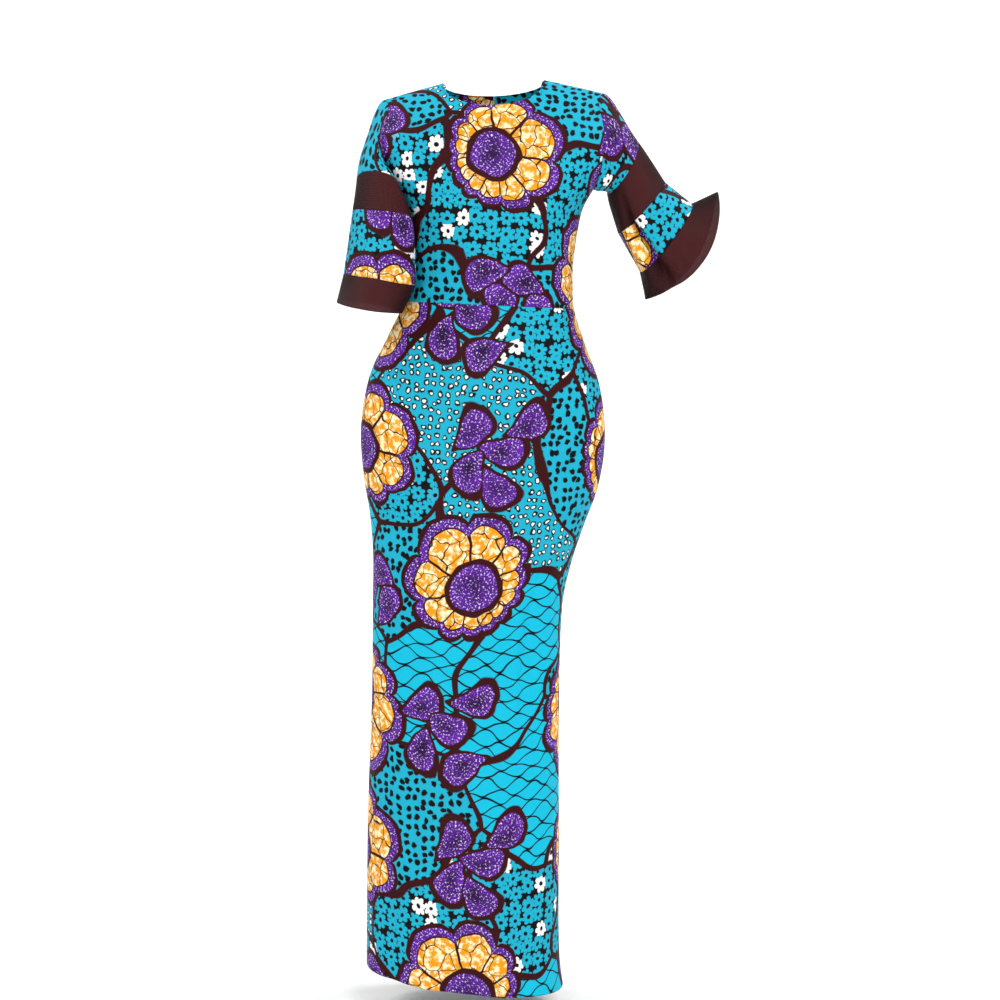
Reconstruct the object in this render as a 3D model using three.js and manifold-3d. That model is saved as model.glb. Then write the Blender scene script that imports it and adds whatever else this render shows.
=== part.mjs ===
// A floor-length wax print dress in the hollow shape it takes when it is worn: a fitted bodice with a shallow
// round neck, a waist seam, a long pencil skirt, and elbow sleeves with sheer inset bands that end in a bell.
// Millimetres, +Z up, the front faces -Y. The origin is midway between the shoulder seams, where a wearer
// carries the dress. "Left" and "right" are the wearer's own, so the right sleeve lies on the -X side.
import * as THREE from "three";
import Module from "manifold-3d";
import { mergeVertices } from "three/addons/utils/BufferGeometryUtils.js";

// ---- Driving sizes ----
const CLOTH = 1.6; // wall of the wax print cotton
const MESH_CLOTH = 1.2; // wall of the sheer bands and cuffs
const SEAM_GAP = 0.5; // between two sewn pieces
const FRONT = -1; // the front of the body lies on the -Y side of its sections
const BACK = 1;
const NECK = { halfWidth: 79, height: 8, frontDrop: 40, backDrop: 15 }; // height is that of its widest points
const SHOULDER = { slope: 0.264, soften: 40, rounding: 92 }; // front and back meet over the rounding's height
const UNDERARM = -158;
const WAIST = -336;
const HEM = -1404;
const ARMHOLE = { halfWidth: 171, front: 50, back: 52 }; // half width at its top, and its reaches in Y
const CLEARANCE = 4.5; // between a hanging sleeve and the side of the body
const BESIDE = { from: -62, to: -128 }; // heights between which a hanging sleeve comes to lie along the side
const SOFTNESS = 0.09; // how gently it does so, as a share of the half width
const SHORT_STEP = 0.004; // of turn or roll, for a normal
const SLEEVE_STEP = 0.02; // of station or angle, for a sleeve's normal
const HEIGHT_STEPS = 12; // that close in on a height
const HALVINGS = 40; // that find a reach

// ---- The body of the dress, section by section ----
// height; centre (x) and lean (y) of the section; its half width; its depth in front of and behind its middle;
// how square it is (2 is an ellipse); and its tilt (rise per millimetre towards +X).
const SECTIONS = [
  { height: 60, centre: 0, lean: 2, halfWidth: 194, front: 62, back: 66, square: 2.6, tilt: 0.03 },
  { height: -10, centre: 0, lean: 1, halfWidth: 193, front: 72, back: 74, square: 2.6, tilt: 0.03 },
  { height: -60, centre: 0, lean: 0, halfWidth: 190, front: 86, back: 88, square: 2.6, tilt: 0.025 },
  { height: -85, centre: 0, lean: 0, halfWidth: 187, front: 93, back: 96, square: 2.55, tilt: 0.022 },
  { height: -112, centre: -1, lean: 0, halfWidth: 180, front: 99, back: 101, square: 2.5, tilt: 0.016 },
  { height: -136, centre: -1, lean: 0, halfWidth: 170, front: 104, back: 102, square: 2.45, tilt: 0.01 },
  { height: -158, centre: -2, lean: 0, halfWidth: 157, front: 107, back: 101, square: 2.4, tilt: 0.004 },
  { height: -182, centre: -3, lean: 0, halfWidth: 143.5, front: 107, back: 98, square: 2.35, tilt: -0.002 },
  { height: -207, centre: -4, lean: 0, halfWidth: 137, front: 105, back: 94, square: 2.3, tilt: -0.01 },
  { height: -269, centre: -5, lean: 0, halfWidth: 129, front: 95, back: 85, square: 2.25, tilt: -0.028 },
  { height: -306, centre: -5, lean: 0, halfWidth: 128.5, front: 92, back: 82, square: 2.2, tilt: -0.038 },
  { height: -336, centre: -7, lean: 0, halfWidth: 132.5, front: 93, back: 83, square: 2.2, tilt: -0.045 },
  { height: -390, centre: -11, lean: 0, halfWidth: 154, front: 101, back: 97, square: 2.2, tilt: -0.047 },
  { height: -453, centre: -14, lean: 0, halfWidth: 180, front: 108, back: 113, square: 2.2, tilt: -0.05 },
  { height: -535, centre: -17, lean: 0, halfWidth: 191.5, front: 112, back: 122, square: 2.2, tilt: -0.052 },
  { height: -610, centre: -20.5, lean: 0, halfWidth: 184.5, front: 113, back: 118, square: 2.2, tilt: -0.054 },
  { height: -674, centre: -27, lean: -1, halfWidth: 168, front: 111, back: 110, square: 2.2, tilt: -0.056 },
  { height: -737, centre: -35, lean: -3, halfWidth: 155.5, front: 108, back: 102, square: 2.25, tilt: -0.058 },
  { height: -801, centre: -41.5, lean: -4, halfWidth: 149.5, front: 105, back: 98, square: 2.3, tilt: -0.06 },
  { height: -961, centre: -45, lean: -4, halfWidth: 148.5, front: 102, back: 98, square: 2.3, tilt: -0.07 },
  { height: -1156, centre: -48.5, lean: -2, halfWidth: 152.5, front: 104, back: 103, square: 2.3, tilt: -0.09 },
  { height: -1353, centre: -49.5, lean: 0, halfWidth: 154.5, front: 109, back: 110, square: 2.3, tilt: -0.11 },
  { height: -1425, centre: -45.5, lean: 0, halfWidth: 159, front: 113, back: 114, square: 2.3, tilt: -0.116 },
];

// ---- What the cut and the drape add to the depth ----
// side; x from the section's centre; height; how wide and how tall the swell is; how far it stands out.
const SWELLS = [
  { side: FRONT, x: -76, height: -200, wide: 46, tall: 52, out: 14 },
  { side: FRONT, x: 76, height: -200, wide: 46, tall: 52, out: 14 },
  { side: BACK, x: -82, height: -545, wide: 62, tall: 80, out: 9 },
  { side: BACK, x: 82, height: -545, wide: 62, tall: 80, out: 9 },
  { side: FRONT, x: 96, height: -880, wide: 16, tall: 150, out: -7 },
  { side: FRONT, x: 60, height: -1350, wide: 24, tall: 260, out: 6 },
  { side: FRONT, x: -112, height: -1390, wide: 18, tall: 210, out: -8 },
  { side: FRONT, x: -60, height: -1400, wide: 26, tall: 240, out: 5 },
  { side: BACK, x: -64, height: -1380, wide: 26, tall: 300, out: 8 },
  { side: BACK, x: 14, height: -1340, wide: 22, tall: 240, out: -7 },
  { side: BACK, x: 88, height: -1390, wide: 28, tall: 320, out: 8 },
];

// ---- The sleeves, seam by seam ----
// Each ring is a seam or the rim: the x and z of its top and its under side, the y of its middle, and the way
// from its middle to its front. A rim may dip between its top and under side, as a flared edge does: dipX and dipZ
// say how far. The sleeve grows out of the armhole to the first ring.
const DIP = { dipX: 31, dipZ: -22 };
const SLEEVES = {
  right: {
    side: -1,
    leaves: { top: [-0.9, 0, -0.43], under: [-0.35, -0.1, -0.93], strength: 0.42 },
    rings: [
      { topX: -208.5, topZ: -141, underX: -118, underZ: -173, y: -24, frontX: 10, frontY: -54, frontZ: 19 },
      { topX: -215.5, topZ: -190, underX: -112, underZ: -202, y: -44, frontX: 9, frontY: -58, frontZ: 1 },
      { topX: -229.5, topZ: -288, underX: -117, underZ: -306, y: -58, frontX: 10, frontY: -74, frontZ: -2 },
      { topX: -240.3, topZ: -331, underX: -137, underZ: -347, y: -62, frontX: 4, frontY: -102, frontZ: -5 },
    ],
  },
  left: {
    side: 1,
    leaves: { top: [0.97, 0, -0.25], under: [0.75, 0.1, -0.65], strength: 0.48 },
    rings: [
      { topX: 222, topZ: -82, underX: 173, underZ: -163, y: 8, frontX: 9, frontY: -48, frontZ: -5 },
      { topX: 266, topZ: -144.5, underX: 194, underZ: -224, y: 20, frontX: 5, frontY: -52, frontZ: -3 },
      { topX: 310.5, topZ: -177.5, underX: 230, underZ: -284, y: 34, frontX: 7, frontY: -58, frontZ: -4 },
      { topX: 351.5, topZ: -158, underX: 239.5, underZ: -327.5, y: 46, frontX: 2, frontY: -58, frontZ: 0, ...DIP },
    ],
  },
};
// Stations run from 0 at the armhole through the rings to the rim.
const RIM = 4;
const SLEEVE_PIECES = [
  { name: "cap", from: 0, to: 1, sheer: false, rows: 6 },
  { name: "mesh_inset", from: 1, to: 2, sheer: true, rows: 2 },
  { name: "printed_band", from: 2, to: 3, sheer: false, rows: 3 },
  { name: "mesh_cuff", from: 3, to: RIM, sheer: true, rows: 3 },
];
const SLEEVE_COLUMNS = 24;

// ---- The centre-back zip ----
const ZIP = { tapeWidth: 14, tapeWall: 0.8, edge: 0.8, skirtRows: 4, rowsBelowNeck: 1 };
const SLIDER = { height: -26, width: 6.4, above: 4.2, below: 4, thick: 1.4, lift: 0.5 };
const BRIDGE = { width: 1.8, opening: 3.8, depth: 2.2, strand: 1 };
const PULL = { width: 6, length: 21, thick: 1, bar: 1, slot: 3.4, slotWidth: 3.2, tilt: 0.087, drop: 1 };

// ---- Grids of the body panels ----
const ROWS = { seam: 8, armhole: SLEEVE_COLUMNS / 2, skirt: 20 };
const COLUMNS = { shoulder: 6, neck: 8, skirt: 18 };

// ---- Materials ----
const finish = (color, roughness, metalness = 0, opacity = 1) =>
  new THREE.MeshStandardMaterial({ color, roughness, metalness, opacity, transparent: opacity < 1 });
const PRINT = () => finish(0x1fa9c4, 0.62);
const SHEER = () => finish(0x3a2022, 0.7, 0, 0.85);
const TAPE = () => finish(0x241a1c, 0.8);
const METAL = () => finish(0x6b5a48, 0.35, 1);

// ---- Small helpers ----
const QUARTER = Math.PI / 2;
const lerp = (a, b, t) => a + (b - a) * t;
const clamp = (v, low, high) => Math.min(high, Math.max(low, v));
const signedPower = (v, power) => Math.sign(v) * Math.abs(v) ** power;
const smooth = (t) => t * t * (3 - 2 * t);
const vector = (x, y, z) => new THREE.Vector3(x, y, z);

/** Cubic from a to b, with slopes da and db for the whole span. */
function cubic(a, b, da, db, t) {
  const s = 1 - t;
  return (1 + 2 * t) * s * s * a + t * s * s * da + t * t * (3 - 2 * t) * b - t * t * s * db;
}

/** The section at a height, on a cubic curve through the rows of the table. */
function sectionAt(height) {
  let k = 0;
  while (k < SECTIONS.length - 2 && height < SECTIONS[k + 1].height) k++;
  const [a, b] = [SECTIONS[k], SECTIONS[k + 1]];
  const before = SECTIONS[Math.max(k - 1, 0)];
  const after = SECTIONS[Math.min(k + 2, SECTIONS.length - 1)];
  const span = b.height - a.height;
  const t = clamp((height - a.height) / span, 0, 1);
  const section = {};
  for (const column of Object.keys(a)) {
    const slopeA = (b[column] - before[column]) / (b.height - before.height);
    const slopeB = (after[column] - a[column]) / (after.height - a.height);
    section[column] = cubic(a[column], b[column], slopeA * span, slopeB * span, t);
  }
  return section;
}

// ---- The body's surface ----
/** Height of the shoulder line at a distance x from the centre. */
function shoulderHeight(x) {
  const fromNeck = Math.hypot(x, SHOULDER.soften) - Math.hypot(NECK.halfWidth, SHOULDER.soften);
  return NECK.height - SHOULDER.slope * fromNeck;
}

/** Share of the depth that is left at a place below the shoulder line: a quarter circle over the rounding. */
function roundingAt(below) {
  const t = clamp(below / SHOULDER.rounding, 0, 1);
  return Math.sqrt(t * (2 - t));
}

/** How far a swell stands out at a place: most in its middle, fading as a bell does. */
function swellAt(swell, x, height) {
  const across = (x - swell.x) / swell.wide;
  const up = (height - swell.height) / swell.tall;
  return swell.out * Math.exp(-(across ** 2) - up ** 2);
}

/** Depth of the surface from the section's middle, at x from its centre. */
function depthAt(x, height, side) {
  const section = sectionAt(height);
  const share = clamp(1 - Math.abs(x / section.halfWidth) ** section.square, 0, 1) ** (1 / section.square);
  let depth = side === FRONT ? section.front : section.back;
  for (const swell of SWELLS) if (swell.side === side) depth += swellAt(swell, x, height);
  return depth * share * roundingAt(shoulderHeight(x) - height);
}

/** How far from the section's centre a turn lies. */
function xOf(turn, height) {
  const section = sectionAt(height);
  return section.halfWidth * signedPower(Math.sin(turn), 2 / section.square);
}

/** A point of the body, turn running from -90 to 90 degrees between the side seams. */
function bodyPoint(turn, height, side) {
  const section = sectionAt(height);
  const x = xOf(turn, height);
  const y = section.lean + side * depthAt(x, height, side);
  return vector(section.centre + x, y, height + section.tilt * x);
}

/** The turn at which a section is x from its centre. */
function turnOf(x, height) {
  const section = sectionAt(height);
  return Math.asin(clamp(signedPower(x / section.halfWidth, section.square / 2), -1, 1));
}

/** Roll runs from 0 on the shoulder line to 1 where its rounding ends, and on below at the same pace. */
function rollOf(below) {
  const share = below / SHOULDER.rounding;
  return share < 1 ? Math.acos(clamp(1 - share, -1, 1)) / QUARTER : 1 + (share - 1) / QUARTER;
}

/** The height at a turn and a roll, closed in on because the half width follows the height. */
function heightAt(turn, roll) {
  const share = roll < 1 ? 1 - Math.cos(roll * QUARTER) : 1 + (roll - 1) * QUARTER;
  let height = -share * SHOULDER.rounding;
  for (let k = 0; k < HEIGHT_STEPS; k++)
    height = shoulderHeight(xOf(turn, height)) - share * SHOULDER.rounding;
  return height;
}

/** The outward normal, from short steps in turn and roll, both taken towards the middle of the panel. */
function bodyNormal(turn, height, side) {
  const roll = rollOf(shoulderHeight(xOf(turn, height)) - height);
  const turnStep = turn > 0 ? -SHORT_STEP : SHORT_STEP;
  const here = bodyPoint(turn, heightAt(turn, roll), side);
  const aside = bodyPoint(turn + turnStep, heightAt(turn + turnStep, roll), side).sub(here);
  const down = bodyPoint(turn, heightAt(turn, roll + SHORT_STEP), side).sub(here);
  const normal = aside.cross(down).normalize();
  const section = sectionAt(height);
  const outwards = here.sub(vector(section.centre, section.lean, height - SHOULDER.rounding / 2));
  return normal.dot(outwards) < 0 ? normal.negate() : normal;
}

// ---- Walls ----
/** A closed wall between grids of outer and inner points; a tube joins its last column to its first. */
function wall(outer, inner, tube = false) {
  const [rows, columns] = [outer.length, outer[0].length];
  const positions = [];
  const quad = (a, b, c, d) => {
    for (const point of [a, b, c, a, c, d]) positions.push(point.x, point.y, point.z);
  };
  const spans = tube ? columns : columns - 1;
  for (let c = 0; c < spans; c++) {
    const n = (c + 1) % columns;
    for (let r = 0; r < rows - 1; r++) {
      quad(outer[r][c], outer[r][n], outer[r + 1][n], outer[r + 1][c]);
      quad(inner[r][n], inner[r][c], inner[r + 1][c], inner[r + 1][n]);
    }
    // Both ends are split along the same diagonal, so that they stay parallel to a neighbour's end.
    quad(outer[0][c], inner[0][c], inner[0][n], outer[0][n]);
    quad(outer[rows - 1][c], outer[rows - 1][n], inner[rows - 1][n], inner[rows - 1][c]);
  }
  if (!tube) {
    const last = columns - 1;
    for (let r = 0; r < rows - 1; r++) {
      quad(outer[r][0], outer[r + 1][0], inner[r + 1][0], inner[r][0]);
      quad(inner[r][last], inner[r + 1][last], outer[r + 1][last], outer[r][last]);
    }
  }
  return facingOut(positions);
}

/** A geometry of loose triangles, turned over if they enclose a negative volume. */
function facingOut(positions) {
  let volume = 0;
  const at = (k) => vector(positions[k], positions[k + 1], positions[k + 2]);
  for (let k = 0; k < positions.length; k += 9) volume += at(k).dot(at(k + 3).cross(at(k + 6)));
  if (volume < 0)
    for (let k = 0; k < positions.length; k += 9)
      for (let axis = 0; axis < 3; axis++) {
        const kept = positions[k + 3 + axis];
        positions[k + 3 + axis] = positions[k + 6 + axis];
        positions[k + 6 + axis] = kept;
      }
  const geometry = new THREE.BufferGeometry();
  geometry.setAttribute("position", new THREE.Float32BufferAttribute(positions, 3));
  geometry.computeVertexNormals();
  return geometry;
}

/** The points of a grid of places ({ turn, height }) on the body, moved in by a depth. */
function bodyGrid(places, side, depth) {
  const moved = ({ turn, height }) =>
    bodyPoint(turn, height, side).addScaledVector(bodyNormal(turn, height, side), -depth);
  return places.map((row) => row.map(moved));
}

const bodyWall = (places, side) => wall(bodyGrid(places, side, 0), bodyGrid(places, side, CLOTH));

/** A grid of places from a function of a column and a row. */
function gridOf(firstColumn, lastColumn, rows, place) {
  const grid = [];
  for (let r = 0; r <= rows; r++) {
    grid.push([]);
    for (let c = firstColumn; c <= lastColumn; c++) grid[r].push(place(c, r));
  }
  return grid;
}

/** Keeps a place off the centre-back seam, on the side that hand names (0 leaves it alone). */
function offCentre(place, hand) {
  if (hand === 0) return place;
  const least = turnOf(SEAM_GAP / 2, place.height);
  return { turn: hand * Math.max(hand * place.turn, least), height: place.height };
}

// ---- The bodice ----
/** The turn at which front or back ends at the side seam. */
function seamTurn(height, side) {
  const section = sectionAt(height);
  const depth = side === FRONT ? section.front : section.back;
  return Math.acos((SEAM_GAP / 2 / depth) ** (section.square / 2));
}

/** How far from the centre the body is as deep as this, found by halving. */
function reachAt(depth, height, side) {
  let [near, far] = [NECK.halfWidth, sectionAt(height).halfWidth];
  for (let k = 0; k < HALVINGS; k++) {
    const middle = (near + far) / 2;
    if (depthAt(middle, height, side) > depth) near = middle;
    else far = middle;
  }
  return near;
}

/** The armhole's edge on the +X side, an oval seen from the side: share 0 is the underarm, 1 the shoulder. */
function armholeEdge(share, side, margin) {
  const top = shoulderHeight(ARMHOLE.halfWidth);
  const [middle, half] = [(top + UNDERARM) / 2, (top - UNDERARM) / 2];
  const reach = side === FRONT ? ARMHOLE.front : ARMHOLE.back;
  const height = middle - half * Math.cos(Math.PI * share) - margin * (1 - share);
  const depth = Math.max((reach + margin) * Math.sin(Math.PI * share), SEAM_GAP / 2);
  return { x: reachAt(depth, height, side) - margin * share, height };
}

/** The bodice's side, from the waist up the side seam and round the armhole, as a turn and a roll. */
function bodiceSide(row, side) {
  let height = lerp(WAIST + SEAM_GAP / 2, UNDERARM, row / ROWS.seam);
  let turn = seamTurn(height, side);
  if (row > ROWS.seam) {
    const edge = armholeEdge((row - ROWS.seam) / ROWS.armhole, side, SEAM_GAP / 2);
    height = edge.height;
    turn = turnOf(edge.x, height);
  }
  return { turn, roll: rollOf(shoulderHeight(xOf(turn, height)) - height) };
}

/** The least roll at which front or back ends at the shoulder seam. */
function shoulderRoll(x, side) {
  const depth = depthAt(x, shoulderHeight(x) - SHOULDER.rounding, side);
  return Math.asin(SEAM_GAP / 2 / depth) / QUARTER;
}

/** The bodice's upper edge by column, on the +X half: from the armhole along the shoulder, into the neck. */
function bodiceTop(column, side) {
  const drop = side === FRONT ? NECK.frontDrop : NECK.backDrop;
  const tip = armholeEdge(1, side, SEAM_GAP / 2);
  let x = lerp(tip.x, NECK.halfWidth, column / COLUMNS.shoulder);
  let height = shoulderHeight(x);
  if (column > COLUMNS.shoulder) {
    const angle = (QUARTER * (column - COLUMNS.shoulder)) / (COLUMNS.neck / 2);
    x = NECK.halfWidth * Math.cos(angle);
    height = NECK.height - drop * Math.sin(angle);
  }
  const roll = Math.max(rollOf(shoulderHeight(x) - height), shoulderRoll(x, side));
  return { turn: turnOf(x, height), roll };
}

/** The bodice's places: its four edges blended across in turn and roll. Columns run from -X to +X. */
function bodicePlaces(side, hand = 0) {
  const columns = 2 * COLUMNS.shoulder + COLUMNS.neck;
  const rows = ROWS.seam + ROWS.armhole;
  const bottomHeight = WAIST + SEAM_GAP / 2;
  const bottomTurn = seamTurn(bottomHeight, side);
  const mirrored = (place, sign) => ({ turn: sign * place.turn, roll: place.roll });
  const top = (c) => (2 * c <= columns ? mirrored(bodiceTop(c, side), -1) : bodiceTop(columns - c, side));
  const bottom = (c) => {
    const turn = lerp(-bottomTurn, bottomTurn, c / columns);
    return { turn, roll: rollOf(shoulderHeight(xOf(turn, bottomHeight)) - bottomHeight) };
  };
  const place = (c, r) => {
    const [s, t] = [c / columns, r / rows];
    const [low, high, far] = [bottom(c), top(c), bodiceSide(r, side)];
    const near = mirrored(far, -1);
    const blended = (key) =>
      lerp(low[key], high[key], t) +
      lerp(near[key], far[key], s) -
      lerp(lerp(bottom(0)[key], bottom(columns)[key], s), lerp(top(0)[key], top(columns)[key], s), t);
    const [turn, roll] = [blended("turn"), blended("roll")];
    return offCentre({ turn, height: heightAt(turn, roll) }, hand);
  };
  const middle = columns / 2;
  return gridOf(hand > 0 ? middle : 0, hand < 0 ? middle : columns, rows, place);
}

// ---- The skirt ----
function skirtPlaces(side, hand = 0) {
  const place = (c, r) => {
    const height = lerp(HEM, WAIST - SEAM_GAP / 2, r / ROWS.skirt);
    const edge = seamTurn(height, side);
    return offCentre({ turn: lerp(-edge, edge, c / COLUMNS.skirt), height }, hand);
  };
  const middle = COLUMNS.skirt / 2;
  return gridOf(hand > 0 ? middle : 0, hand < 0 ? middle : COLUMNS.skirt, ROWS.skirt, place);
}

// ---- The sleeves ----
/** The armhole's point at an angle round the sleeve: 0 is the shoulder, 90 degrees the front. */
function armholePlace(angle, hand) {
  const side = Math.sin(angle) >= 0 ? FRONT : BACK;
  const share = 1 - Math.acos(clamp(Math.cos(angle), -1, 1)) / Math.PI;
  const edge = armholeEdge(share, side, 0);
  return { turn: hand * turnOf(edge.x, edge.height), height: edge.height, side };
}

/** The way out of the armhole: in the body's surface, square to the armhole's edge. */
function armholeOutward(angle, hand) {
  const place = armholePlace(angle, hand);
  const point = (a) => {
    const { turn, height, side } = armholePlace(a, hand);
    return bodyPoint(turn, height, side);
  };
  const along = point(angle + SLEEVE_STEP).sub(point(angle - SLEEVE_STEP));
  const outward = along.cross(bodyNormal(place.turn, place.height, place.side)).normalize();
  const middle = vector(hand * ARMHOLE.halfWidth, 0, UNDERARM / 2);
  return outward.dot(middle.sub(point(angle))) < 0 ? outward.negate() : outward;
}

/** A point of a ring, round from its top through its front. */
function ringPoint(ring, angle) {
  const middle = vector((ring.topX + ring.underX) / 2, ring.y, (ring.topZ + ring.underZ) / 2);
  const up = vector((ring.topX - ring.underX) / 2, 0, (ring.topZ - ring.underZ) / 2);
  const front = vector(ring.frontX, ring.frontY, ring.frontZ);
  const dip = vector(ring.dipX ?? 0, 0, ring.dipZ ?? 0);
  const point = middle.addScaledVector(up, Math.cos(angle)).addScaledVector(front, Math.sin(angle));
  return point.addScaledVector(dip, Math.sin(angle) ** 2);
}

/** Moves a point out of the body where it would touch it, so that the sleeve lies along the side. */
function clearOfBody(point, station) {
  const beside = smooth(clamp((point.z - BESIDE.from) / (BESIDE.to - BESIDE.from), 0, 1));
  if (beside === 0) return point;
  const section = sectionAt(point.z);
  const [x, y] = [point.x - section.centre, point.y - section.lean];
  const depth = depthAt(0, point.z, y < 0 ? FRONT : BACK);
  const shares = Math.abs(x / section.halfWidth) ** section.square + Math.abs(y / depth) ** section.square;
  const reach = shares ** (1 / section.square);
  const ease = smooth(clamp(station, 0, 1));
  const least = 1 + (SEAM_GAP + CLEARANCE * ease) / section.halfWidth;
  const over = reach - least;
  const kept = least + (over + Math.hypot(over, SOFTNESS * ease)) / 2;
  const moved = vector(section.centre + (x * kept) / reach, section.lean + (y * kept) / reach, point.z);
  return point.clone().lerp(moved, beside);
}

/** A point of the sleeve's outer surface at a station and an angle. */
function sleevePoint(sleeve, station, angle) {
  const { rings, side, leaves } = sleeve;
  if (station < 1) {
    const place = armholePlace(angle, side);
    const start = bodyPoint(place.turn, place.height, place.side);
    start.addScaledVector(armholeOutward(angle, side), SEAM_GAP);
    if (station <= 0) return start;
    const [end, next] = [ringPoint(rings[0], angle), ringPoint(rings[1], angle)];
    const chord = end.distanceTo(start);
    const overTop = (1 + Math.cos(angle)) / 2;
    const away = vector(...leaves.under).lerp(vector(...leaves.top), overTop).setLength(chord);
    away.multiplyScalar(lerp(1, leaves.strength, overTop));
    const onward = next.sub(end).setLength(chord);
    const point = vector(0, 0, 0);
    for (const axis of ["x", "y", "z"])
      point[axis] = cubic(start[axis], end[axis], away[axis], onward[axis], station);
    return clearOfBody(point, station);
  }
  const k = Math.min(Math.floor(station) - 1, rings.length - 2);
  const point = ringPoint(rings[k], angle).lerp(ringPoint(rings[k + 1], angle), station - 1 - k);
  return clearOfBody(point, station);
}

/** The sleeve's outward normal, taken across a seam so that the pieces on both sides of it share it. */
function sleeveNormal(sleeve, station, angle) {
  const [from, to] = [Math.max(station - SLEEVE_STEP, 0), Math.min(station + SLEEVE_STEP, RIM)];
  const along = sleevePoint(sleeve, to, angle).sub(sleevePoint(sleeve, from, angle));
  const [behind, ahead] = [angle - SLEEVE_STEP, angle + SLEEVE_STEP];
  const round = sleevePoint(sleeve, station, ahead).sub(sleevePoint(sleeve, station, behind));
  return round.cross(along).multiplyScalar(sleeve.side).normalize();
}

/** The station half a seam gap from a seam, before it (way -1) or after it (way 1). */
function besideSeam(sleeve, seam, way, angle) {
  const stepped = sleevePoint(sleeve, seam + way * SLEEVE_STEP, angle);
  const pace = sleevePoint(sleeve, seam, angle).distanceTo(stepped) / SLEEVE_STEP;
  return seam + (way * SEAM_GAP) / 2 / pace;
}

function sleeveWall(sleeve, piece) {
  const thickness = piece.sheer ? MESH_CLOTH : CLOTH;
  const [outer, inner] = [[], []];
  for (let r = 0; r <= piece.rows; r++) {
    outer.push([]);
    inner.push([]);
    for (let c = 0; c < SLEEVE_COLUMNS; c++) {
      const angle = (2 * Math.PI * c) / SLEEVE_COLUMNS;
      const seam = lerp(piece.from, piece.to, r / piece.rows);
      let station = seam;
      if (r === 0 && piece.from > 0) station = besideSeam(sleeve, seam, 1, angle);
      if (r === piece.rows && piece.to < RIM) station = besideSeam(sleeve, seam, -1, angle);
      const point = sleevePoint(sleeve, station, angle);
      const inwards = sleeveNormal(sleeve, seam, angle).multiplyScalar(-thickness);
      if (seam === 0) {
        // At the armhole the wall may not lean back over the bodice's edge.
        const outward = armholeOutward(angle, sleeve.side);
        inwards.addScaledVector(outward, -Math.min(inwards.dot(outward), 0)).setLength(thickness);
      }
      outer[r].push(point);
      inner[r].push(point.clone().add(inwards));
    }
  }
  return wall(outer, inner, true);
}

// ---- The zip ----
/** One side of the zip's tape, made from the back panels' own points beside the centre seam, moved in. */
function zipTape(hand) {
  const rows = [...skirtPlaces(BACK, hand).slice(-1 - ZIP.skirtRows), ...bodicePlaces(BACK, hand)];
  const taped = rows.slice(0, rows.length - ZIP.rowsBelowNeck);
  const strip = (depth) =>
    bodyGrid(taped, BACK, depth).map((row) => {
      const [seam, next] = hand > 0 ? [row[0], row[1]] : [row.at(-1), row.at(-2)];
      const cell = seam.distanceTo(next);
      const width = Math.min(ZIP.tapeWidth, cell);
      return [ZIP.edge, width].map((across) => seam.clone().lerp(next, across / cell));
    });
  return wall(strip(CLOTH + SEAM_GAP), strip(CLOTH + SEAM_GAP + ZIP.tapeWall));
}

/** A rounded rectangle, centred on x, from bottom to top. */
function roundedShape(width, bottom, top, radius) {
  const shape = new THREE.Shape();
  const half = width / 2;
  shape.moveTo(-half + radius, bottom);
  shape.lineTo(half - radius, bottom);
  shape.absarc(half - radius, bottom + radius, radius, -QUARTER, 0);
  shape.lineTo(half, top - radius);
  shape.absarc(half - radius, top - radius, radius, 0, QUARTER);
  shape.lineTo(-half + radius, top);
  shape.absarc(-half + radius, top - radius, radius, QUARTER, 2 * QUARTER);
  shape.lineTo(-half, bottom + radius);
  shape.absarc(-half + radius, bottom + radius, radius, 2 * QUARTER, 3 * QUARTER);
  return shape;
}

const extrude = (shape, depth) =>
  new THREE.ExtrudeGeometry(shape, { depth, bevelEnabled: false, curveSegments: 4 });

/** A rectangle with a rectangular hole, each given as [left, bottom, right, top]. */
function frameShape(outline, hole) {
  const corners = ([left, bottom, right, top]) => [
    new THREE.Vector2(left, bottom),
    new THREE.Vector2(right, bottom),
    new THREE.Vector2(right, top),
    new THREE.Vector2(left, top),
  ];
  const shape = new THREE.Shape(corners(outline));
  shape.holes.push(new THREE.Path(corners(hole)));
  return shape;
}

/** Joins two closed geometries into one. */
async function joined(first, second) {
  const library = await Module();
  library.setup();
  const solid = (geometry) => {
    const bare = geometry.index ? geometry.toNonIndexed() : geometry.clone();
    bare.deleteAttribute("normal");
    bare.deleteAttribute("uv");
    const merged = mergeVertices(bare, 1e-4);
    return new library.Manifold(
      new library.Mesh({
        numProp: 3,
        vertProperties: new Float32Array(merged.attributes.position.array),
        triVerts: new Uint32Array(merged.index.array),
      }),
    );
  };
  const mesh = solid(first).add(solid(second)).getMesh();
  const geometry = new THREE.BufferGeometry();
  geometry.setAttribute("position", new THREE.BufferAttribute(mesh.vertProperties, 3));
  geometry.setIndex(new THREE.BufferAttribute(mesh.triVerts, 1));
  return geometry;
}

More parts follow.
